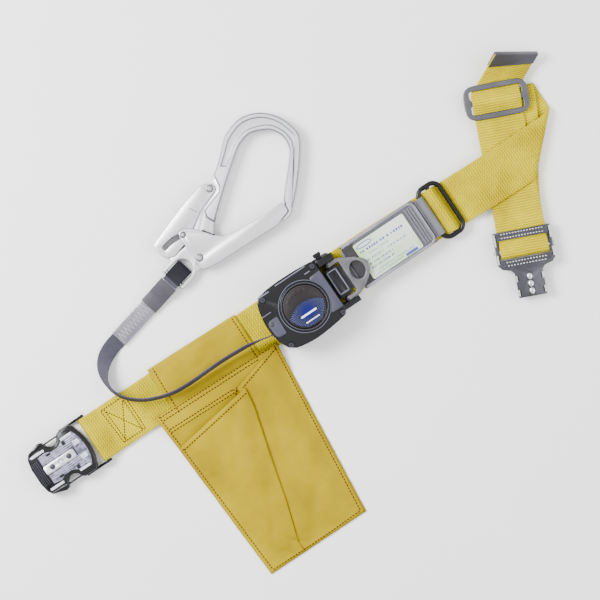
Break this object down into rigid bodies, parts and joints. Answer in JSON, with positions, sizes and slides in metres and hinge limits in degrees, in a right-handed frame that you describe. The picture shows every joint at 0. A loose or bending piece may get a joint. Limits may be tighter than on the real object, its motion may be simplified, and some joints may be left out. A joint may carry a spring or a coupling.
{
  "type": "self retracting lanyard safety belt",
  "caption": "Waist work belt with a self retracting webbing lanyard reel, snap hook, shock absorber, latch buckle and bolt pouch, laid out flat.",
  "frame": {"origin": "on the reel drum's axis, at the underside of the reel's back plate, which lies on the ground", "axes": "+X along the belt from the socket buckle to the tongue buckle, +Y to the belt's upper edge, +Z out of the reel's face"},
  "size_m": [0.6652, 0.4049, 0.0379],
  "materials": {
    "belt_webbing": "woven polyester, matt",
    "pouch_vinyl": "coated cloth, slight sheen",
    "black_plastic": "moulded, semi matt",
    "smoke_plastic": "grey violet, glossy",
    "steel": "plated, satin",
    "dark_steel": "dark coating",
    "aluminium": "forged, tumbled satin",
    "strap_webbing": "tight weave, matt",
    "clear_sleeve": "soft tube",
    "label_pale": "printed film",
    "label_blue": "printed film"
  },
  "bodies": {
    "belt": {"waist_belt": "belt_webbing", "belt_tip_clip": "steel", "belt_ring": "black_plastic", "tail_slide": "steel", "tongue_plate": "steel", "reel_back_plate": "dark_steel", "reel_case": "black_plastic", "reel_cover": "black_plastic", "cover_disc": "dark_steel", "face_label": "label_blue", "spiral_spring": "steel", "exit_guide": "smoke_plastic", "exit_guide_screw": "steel", "accent_strip": "smoke_plastic", "case_screw_1": "dark_steel", "case_screw_2": "dark_steel", "case_screw_3": "dark_steel", "case_screw_4": "dark_steel", "hinge_block": "black_plastic", "hinge_rod": "steel", "absorber_webbing": "strap_webbing", "absorber_cover": "clear_sleeve", "absorber_label": "label_pale", "lanyard_strap": "strap_webbing", "wear_sleeve": "clear_sleeve", "eye_protector": "black_plastic"},
    "drum": {"drum": "dark_steel", "wound_strap": "strap_webbing", "drum_shaft": "steel"},
    "lock_button": {"lock_button": "black_plastic"},
    "d_ring": {"d_ring": "steel"},
    "socket_buckle": {"buckle_base": "black_plastic", "buckle_cover": "smoke_plastic", "buckle_centre_plate": "aluminium", "buckle_rivet_1": "steel", "buckle_rivet_2": "steel", "buckle_web_bar": "steel", "buckle_spring_upper": "steel", "buckle_spring_lower": "steel"},
    "latch_upper": {"buckle_latch_upper": "black_plastic"},
    "latch_lower": {"buckle_latch_lower": "black_plastic"},
    "sliding_bar": {"sliding_bar": "steel"},
    "pouch": {"pouch_back": "pouch_vinyl", "pouch_front": "pouch_vinyl"},
    "hook": {"hook_body": "aluminium", "gate_rivet": "steel", "lever_rivet": "steel", "gate_spring": "steel"},
    "gate": {"gate": "aluminium", "gate_pin": "steel"},
    "safety_lever": {"safety_lever": "aluminium"}
  },
  "joints": [
    {"name": "drum_spin", "type": "hinge", "parent": "belt", "child": "drum", "pos_m": [0, 0, 0.022], "axis": [0, 0, 1], "continuous": true},
    {"name": "lock_press", "type": "slide", "parent": "belt", "child": "lock_button", "axis": [0, -1, 0], "range_m": [0, 0.002], "stiffness_N_per_m": 400},
    {"name": "d_ring_fold", "type": "hinge", "parent": "belt", "child": "d_ring", "pos_m": [0.043, 0.0015, 0.02], "axis": [0, -1, 0], "range_deg": [0, 95]},
    {"name": "buckle_lift", "type": "hinge", "parent": "belt", "child": "socket_buckle", "pos_m": [-0.253, 0.0065, 0.006], "axis": [0, 1, 0], "range_deg": [0, 50]},
    {"name": "latch_upper_press", "type": "hinge", "parent": "socket_buckle", "child": "latch_upper", "pos_m": [-0.307, 0.0256, 0.0075], "axis": [0, 0, -1], "range_deg": [0, 6], "stiffness_Nm_per_rad": 0.2, "deforming": ["buckle_spring_upper"]},
    {"name": "latch_lower_press", "type": "hinge", "parent": "socket_buckle", "child": "latch_lower", "pos_m": [-0.307, -0.0126, 0.0075], "axis": [0, 0, 1], "range_deg": [0, 6], "stiffness_Nm_per_rad": 0.2, "deforming": ["buckle_spring_lower"]},
    {"name": "adjust_bar_slide", "type": "slide", "parent": "belt", "child": "sliding_bar", "axis": [-0.3907, -0.9205, 0], "range_m": [0, 0.0025]},
    {"name": "pouch_slide", "type": "slide", "parent": "belt", "child": "pouch", "axis": [-1, 0, 0], "range_m": [0, 0.028]},
    {"name": "hook_swing", "type": "hinge", "parent": "belt", "child": "hook", "pos_m": [-0.09531, 0.09761, 0.0082], "axis": [0.2419, -0.9703, 0], "range_deg": [0, 80]},
    {"name": "gate_open", "type": "hinge", "parent": "hook", "child": "gate", "pos_m": [-0.0615, 0.1005, 0.0082], "axis": [0, 0, 1], "range_deg": [0, 27], "stiffness_Nm_per_rad": 0.3},
    {"name": "lever_turn", "type": "hinge", "parent": "hook", "child": "safety_lever", "pos_m": [-0.014, 0.1535, 0.0082], "axis": [0, 0, 1], "range_deg": [0, 4.1]}
  ],
  "couplings": [
    {"joint": "lever_turn", "follows": "gate_open", "ratio": 0.15}
  ]
}
